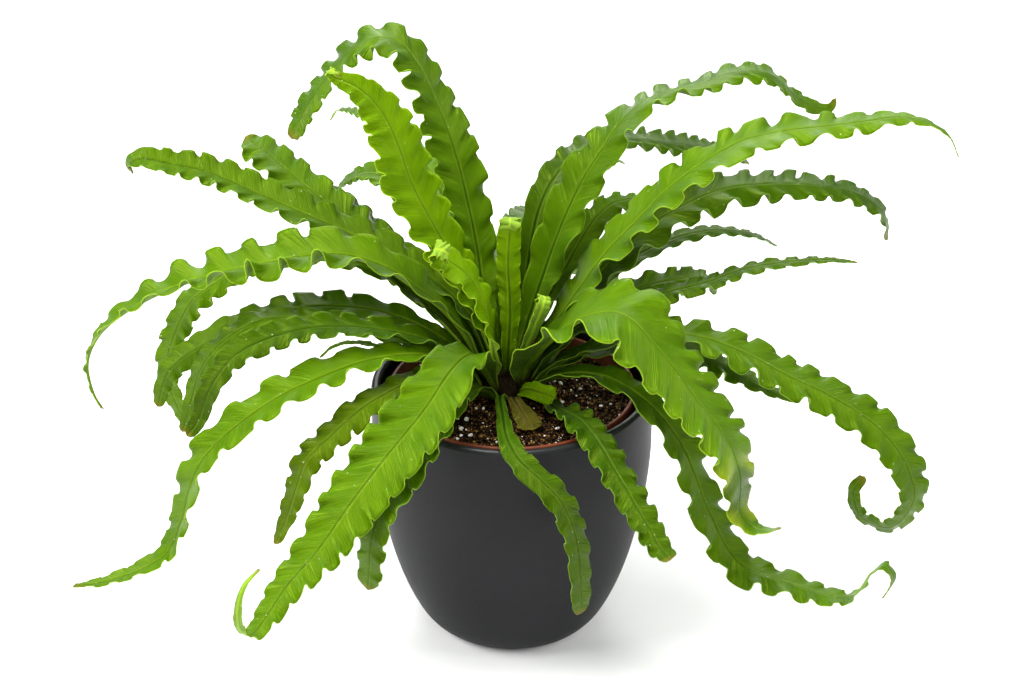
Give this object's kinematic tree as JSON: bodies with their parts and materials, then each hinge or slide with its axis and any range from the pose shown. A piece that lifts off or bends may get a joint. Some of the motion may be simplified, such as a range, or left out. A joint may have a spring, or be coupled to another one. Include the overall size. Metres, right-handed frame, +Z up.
{
  "type": "victoria bird's nest fern",
  "caption": "Potted bird's nest fern: a rosette of wavy strap fronds on a short crown, growing in a tapered nursery pot that stands inside a dark rounded ceramic pot.",
  "frame": {"origin": "middle of the ceramic pot's flat underside, on the surface it stands on", "axes": "+Z up, +X to the right and +Y away from the viewer as in the picture"},
  "size_m": [0.4578, 0.4467, 0.3305],
  "materials": {
    "glazed_ceramic": "satin",
    "terracotta_plastic": "satin",
    "potting_mix": "rough",
    "rhizome": "rough",
    "leaf_bright": "waxy",
    "leaf_mid": "waxy",
    "leaf_dark": "waxy",
    "leaf_young": "waxy",
    "leaf_olive": "waxy",
    "leaf_dry": "papery"
  },
  "bodies": {
    "root": {"cachepot": "glazed_ceramic", "nursery_pot": "terracotta_plastic", "soil": "potting_mix", "crown": "rhizome", "frond_back_1": "leaf_mid", "frond_back_2": "leaf_young", "frond_back_3": "leaf_dark", "frond_back_4": "leaf_mid", "frond_back_5": "leaf_mid", "frond_back_6": "leaf_dark", "frond_back_7": "leaf_mid", "frond_right_1": "leaf_mid", "frond_right_2": "leaf_dark", "frond_right_3": "leaf_mid", "frond_right_4": "leaf_dark", "frond_right_5": "leaf_bright", "frond_right_6": "leaf_dark", "frond_right_7": "leaf_dark", "frond_right_8": "leaf_mid", "frond_right_9": "leaf_dark", "frond_left_1": "leaf_bright", "frond_left_2": "leaf_mid", "frond_left_3": "leaf_mid", "frond_left_4": "leaf_dark", "frond_left_5": "leaf_bright", "frond_left_6": "leaf_mid", "frond_left_7": "leaf_mid", "frond_left_8": "leaf_dark", "frond_left_9": "leaf_bright", "frond_left_10": "leaf_olive", "frond_front_1": "leaf_bright", "frond_front_2": "leaf_mid", "frond_front_3": "leaf_dark", "frond_front_4": "leaf_dark", "frond_front_5": "leaf_mid", "frond_front_6": "leaf_bright", "frond_front_7": "leaf_mid", "frond_front_8": "leaf_mid", "frond_young_1": "leaf_young", "frond_young_2": "leaf_young", "frond_young_3": "leaf_young", "frond_short_1": "leaf_young", "frond_dry_1": "leaf_dry", "frond_short_2": "leaf_mid"}
  },
  "joints": []
}
